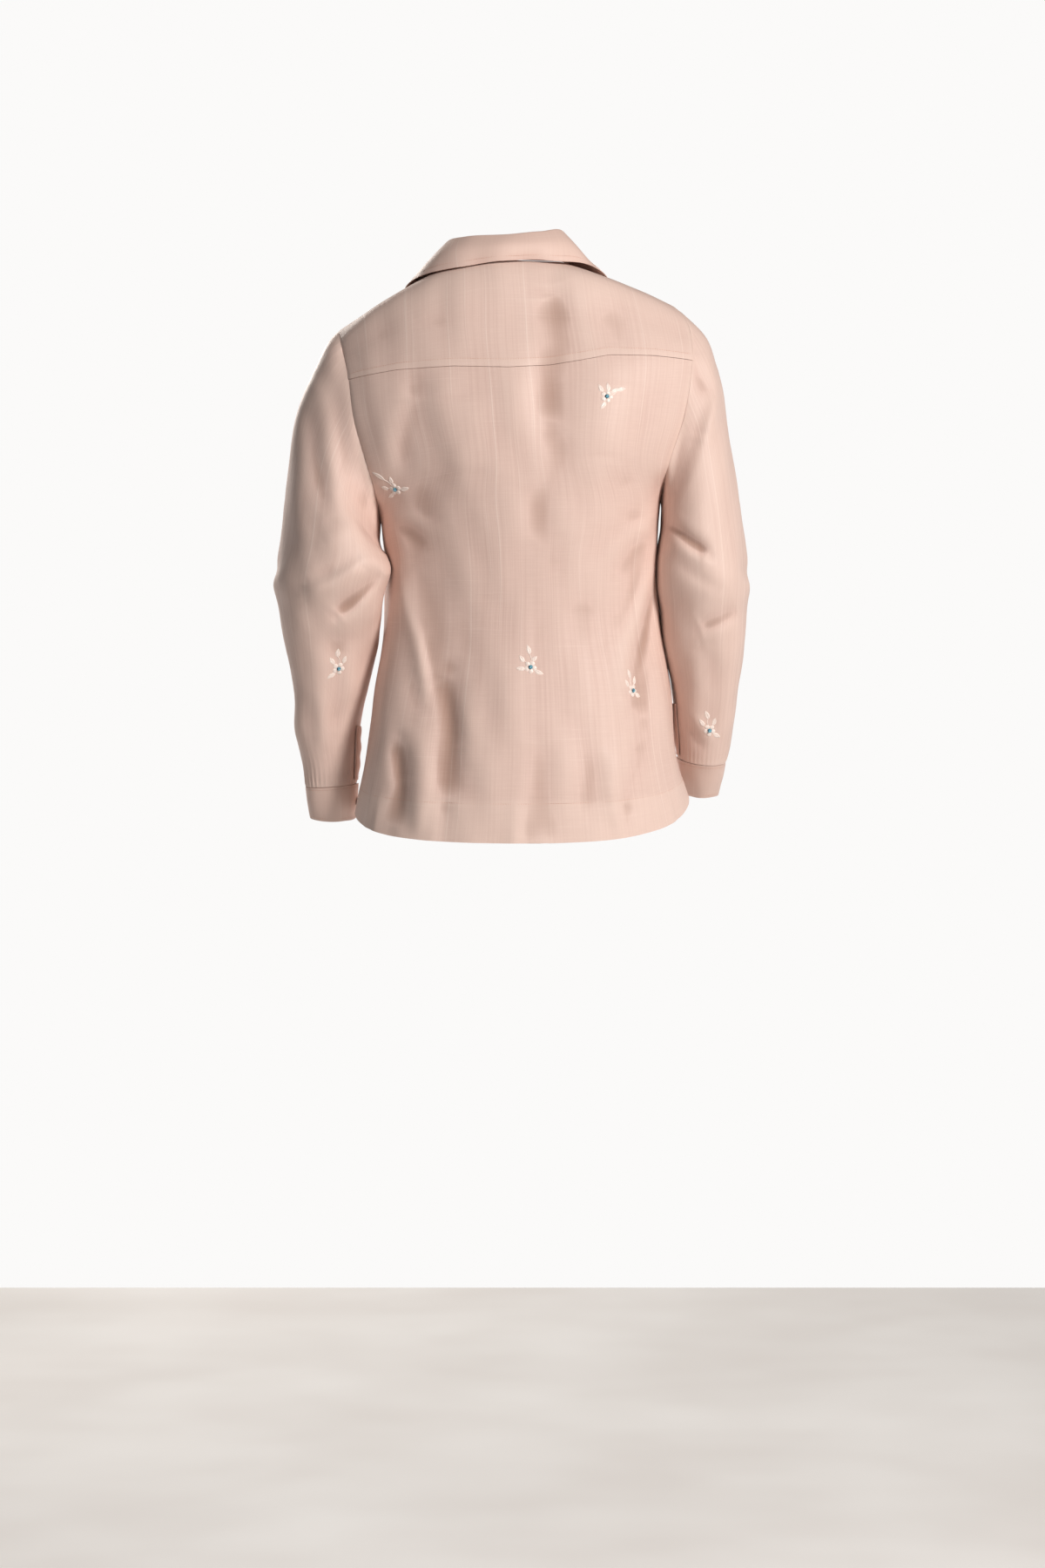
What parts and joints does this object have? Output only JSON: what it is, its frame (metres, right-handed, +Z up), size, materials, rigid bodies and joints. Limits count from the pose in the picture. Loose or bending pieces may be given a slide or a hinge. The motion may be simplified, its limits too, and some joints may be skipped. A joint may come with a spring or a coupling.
{
  "type": "barong tagalog shirt",
  "caption": "Long-sleeved sheer blush shirt with an open camp collar, back yoke, barrel cuffs and straight hem, hollow in the shape of a standing wearer.",
  "frame": {"origin": "middle of the neck, level with the points where the shoulders meet it, where the wearer holds the shirt up", "axes": "+Z up, +X to the wearer's left, the wearer faces -Y"},
  "size_m": [0.5738, 0.2689, 0.7356],
  "materials": {
    "organza": "sheer lustrous pina-silk organza",
    "doubled_organza": "the same organza, doubled",
    "shell": "polished shell button"
  },
  "bodies": {
    "root": {"back": "organza", "yoke": "doubled_organza", "front_left": "organza", "front_right": "organza", "lapel_left": "doubled_organza", "lapel_right": "doubled_organza", "collar": "doubled_organza", "sleeve_left": "organza", "sleeve_right": "organza", "cuff_left": "doubled_organza", "cuff_right": "doubled_organza", "placket_left": "doubled_organza", "placket_right": "doubled_organza", "front_button_1": "shell", "front_button_2": "shell", "front_button_3": "shell", "front_button_4": "shell", "front_button_5": "shell", "cuff_button_left": "shell", "cuff_button_right": "shell"}
  },
  "joints": []
}
